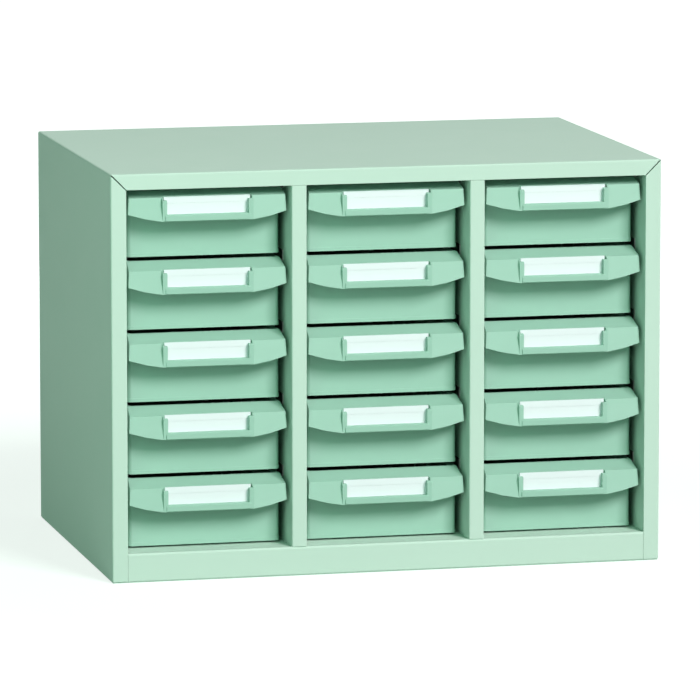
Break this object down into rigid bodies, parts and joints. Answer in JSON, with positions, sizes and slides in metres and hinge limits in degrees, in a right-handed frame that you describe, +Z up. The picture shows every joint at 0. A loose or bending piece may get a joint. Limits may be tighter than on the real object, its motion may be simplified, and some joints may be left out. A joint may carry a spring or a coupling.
{
  "type": "small parts drawer cabinet",
  "caption": "Free-standing folded-steel cabinet with moulded drawers in three columns, each with a hooded pull and a label holder.",
  "frame": {"origin": "middle of the footprint, on the surface that the cabinet stands on", "axes": "+Z up, the drawers face -Y, +X to the right hand of someone facing the back, which is the width"},
  "size_m": [0.586, 0.4, 0.425],
  "materials": {
    "paint": "satin powder coat",
    "zinc": "zinc plated",
    "drawer_plastic": "fine satin moulding",
    "card": "matt paper"
  },
  "bodies": {
    "cabinet": {"outer_wrap": "paint", "base_tray": "paint", "back_panel": "paint", "side_liner_right": "paint", "side_liner_left": "paint", "divider_1": "paint", "divider_2": "paint", "runners_c1_left": "zinc", "runners_c1_right": "zinc", "runners_c2_left": "zinc", "runners_c2_right": "zinc", "runners_c3_left": "zinc", "runners_c3_right": "zinc"},
    "drawer_body_c1r1": {"drawer_c1r1": "drawer_plastic", "label_card_c1r1": "card"},
    "drawer_body_c1r2": {"drawer_c1r2": "drawer_plastic", "label_card_c1r2": "card"},
    "drawer_body_c1r3": {"drawer_c1r3": "drawer_plastic", "label_card_c1r3": "card"},
    "drawer_body_c1r4": {"drawer_c1r4": "drawer_plastic", "label_card_c1r4": "card"},
    "drawer_body_c1r5": {"drawer_c1r5": "drawer_plastic", "label_card_c1r5": "card"},
    "drawer_body_c2r1": {"drawer_c2r1": "drawer_plastic", "label_card_c2r1": "card"},
    "drawer_body_c2r2": {"drawer_c2r2": "drawer_plastic", "label_card_c2r2": "card"},
    "drawer_body_c2r3": {"drawer_c2r3": "drawer_plastic", "label_card_c2r3": "card"},
    "drawer_body_c2r4": {"drawer_c2r4": "drawer_plastic", "label_card_c2r4": "card"},
    "drawer_body_c2r5": {"drawer_c2r5": "drawer_plastic", "label_card_c2r5": "card"},
    "drawer_body_c3r1": {"drawer_c3r1": "drawer_plastic", "label_card_c3r1": "card"},
    "drawer_body_c3r2": {"drawer_c3r2": "drawer_plastic", "label_card_c3r2": "card"},
    "drawer_body_c3r3": {"drawer_c3r3": "drawer_plastic", "label_card_c3r3": "card"},
    "drawer_body_c3r4": {"drawer_c3r4": "drawer_plastic", "label_card_c3r4": "card"},
    "drawer_body_c3r5": {"drawer_c3r5": "drawer_plastic", "label_card_c3r5": "card"}
  },
  "joints": [
    {"name": "slide_c1r1", "type": "slide", "parent": "cabinet", "child": "drawer_body_c1r1", "axis": [0, -1, 0], "range_m": [0, 0.27]},
    {"name": "slide_c1r2", "type": "slide", "parent": "cabinet", "child": "drawer_body_c1r2", "axis": [0, -1, 0], "range_m": [0, 0.27]},
    {"name": "slide_c1r3", "type": "slide", "parent": "cabinet", "child": "drawer_body_c1r3", "axis": [0, -1, 0], "range_m": [0, 0.27]},
    {"name": "slide_c1r4", "type": "slide", "parent": "cabinet", "child": "drawer_body_c1r4", "axis": [0, -1, 0], "range_m": [0, 0.27]},
    {"name": "slide_c1r5", "type": "slide", "parent": "cabinet", "child": "drawer_body_c1r5", "axis": [0, -1, 0], "range_m": [0, 0.27]},
    {"name": "slide_c2r1", "type": "slide", "parent": "cabinet", "child": "drawer_body_c2r1", "axis": [0, -1, 0], "range_m": [0, 0.27]},
    {"name": "slide_c2r2", "type": "slide", "parent": "cabinet", "child": "drawer_body_c2r2", "axis": [0, -1, 0], "range_m": [0, 0.27]},
    {"name": "slide_c2r3", "type": "slide", "parent": "cabinet", "child": "drawer_body_c2r3", "axis": [0, -1, 0], "range_m": [0, 0.27]},
    {"name": "slide_c2r4", "type": "slide", "parent": "cabinet", "child": "drawer_body_c2r4", "axis": [0, -1, 0], "range_m": [0, 0.27]},
    {"name": "slide_c2r5", "type": "slide", "parent": "cabinet", "child": "drawer_body_c2r5", "axis": [0, -1, 0], "range_m": [0, 0.27]},
    {"name": "slide_c3r1", "type": "slide", "parent": "cabinet", "child": "drawer_body_c3r1", "axis": [0, -1, 0], "range_m": [0, 0.27]},
    {"name": "slide_c3r2", "type": "slide", "parent": "cabinet", "child": "drawer_body_c3r2", "axis": [0, -1, 0], "range_m": [0, 0.27]},
    {"name": "slide_c3r3", "type": "slide", "parent": "cabinet", "child": "drawer_body_c3r3", "axis": [0, -1, 0], "range_m": [0, 0.27]},
    {"name": "slide_c3r4", "type": "slide", "parent": "cabinet", "child": "drawer_body_c3r4", "axis": [0, -1, 0], "range_m": [0, 0.27]},
    {"name": "slide_c3r5", "type": "slide", "parent": "cabinet", "child": "drawer_body_c3r5", "axis": [0, -1, 0], "range_m": [0, 0.27]}
  ]
}
